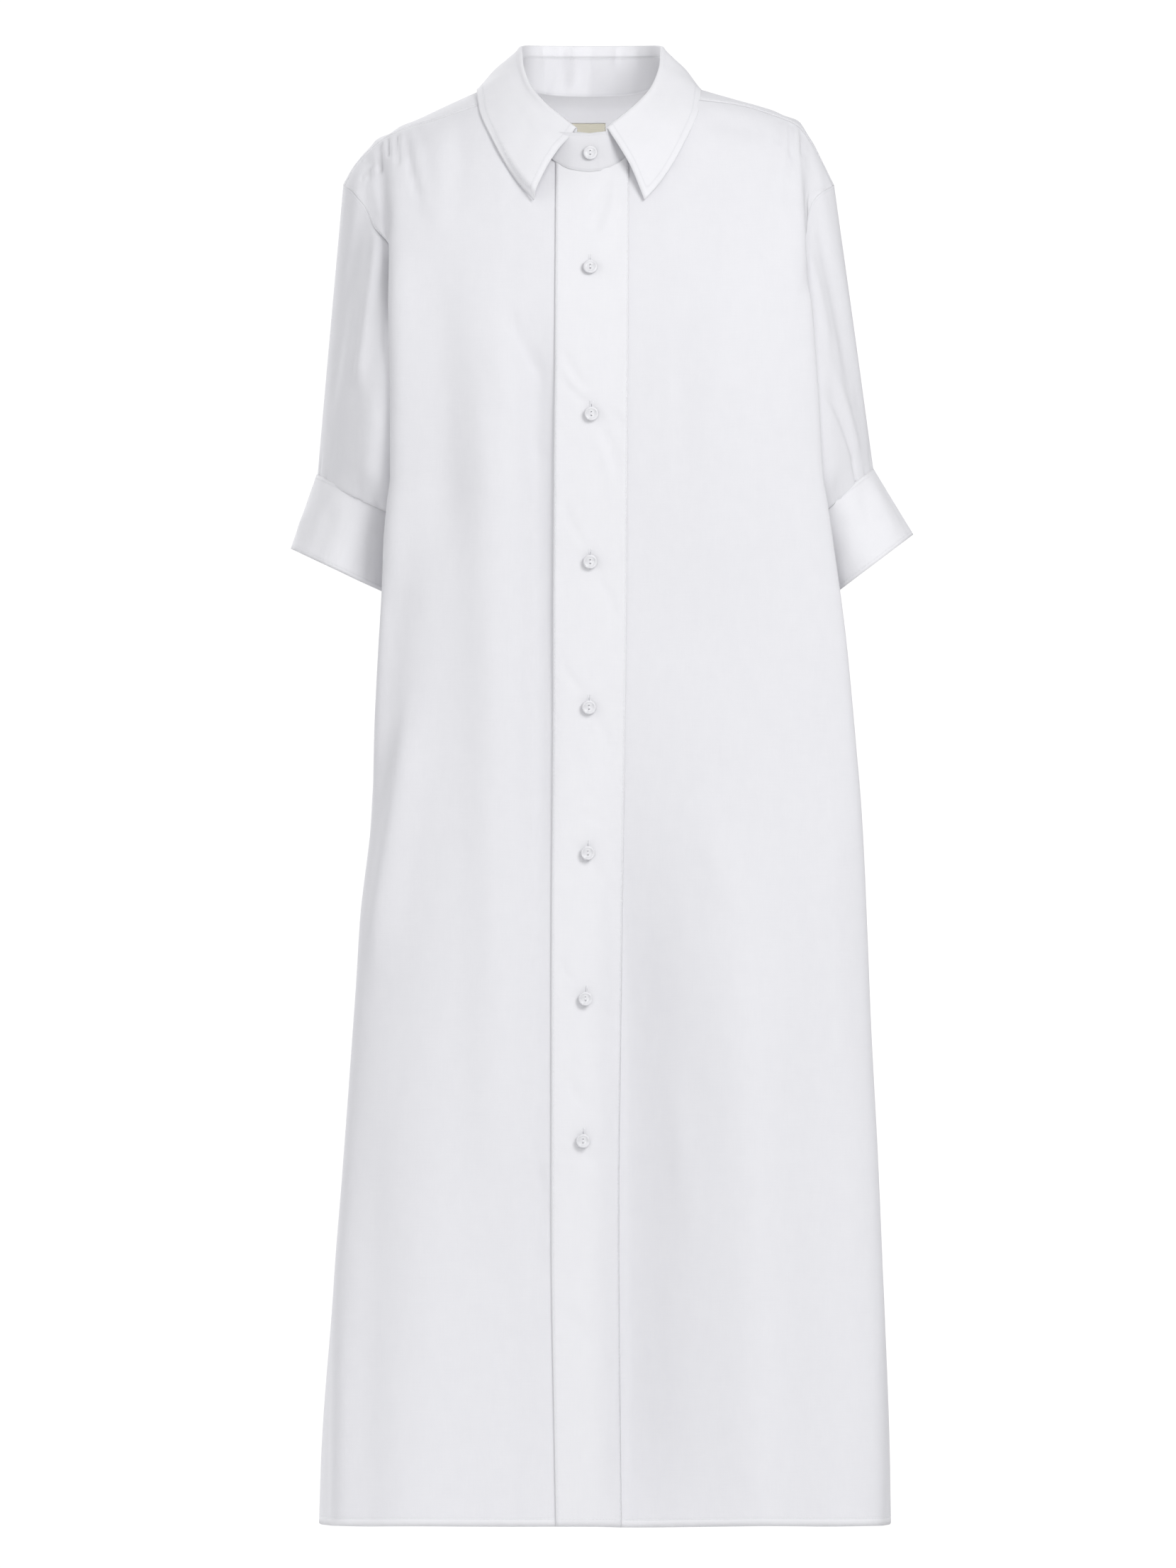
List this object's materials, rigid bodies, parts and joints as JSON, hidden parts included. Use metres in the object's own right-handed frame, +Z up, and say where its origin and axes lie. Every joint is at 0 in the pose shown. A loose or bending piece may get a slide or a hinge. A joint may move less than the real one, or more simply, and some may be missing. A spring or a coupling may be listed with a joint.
{
  "type": "shirt dress",
  "caption": "Oversized midi shirt dress in crisp cotton: pointed collar, buttoned front placket, dropped shoulders and elbow sleeves in wide cuffs.",
  "frame": {"origin": "on the plane of the shoulder ridges, midway between the two places where the collar meets the shoulders", "axes": "+Z up to the collar, -Y out of the front, +X towards the wearer's left sleeve"},
  "size_m": [0.528, 0.3151, 1.2538],
  "materials": {
    "cloth": "crisp matt cotton poplin, plain weave",
    "button": "satin grey",
    "label": "plain beige tape"
  },
  "bodies": {
    "root": {"right_front": "cloth", "left_front": "cloth", "back_panel": "cloth", "back_yoke": "cloth", "front_placket": "cloth", "button_band": "cloth", "collar_stand": "cloth", "collar_fall": "cloth", "left_sleeve": "cloth", "left_cuff": "cloth", "right_sleeve": "cloth", "right_cuff": "cloth", "button_1": "button", "button_2": "button", "button_3": "button", "button_4": "button", "button_5": "button", "button_6": "button", "button_7": "button", "button_8": "button", "neck_label": "label"}
  },
  "joints": []
}
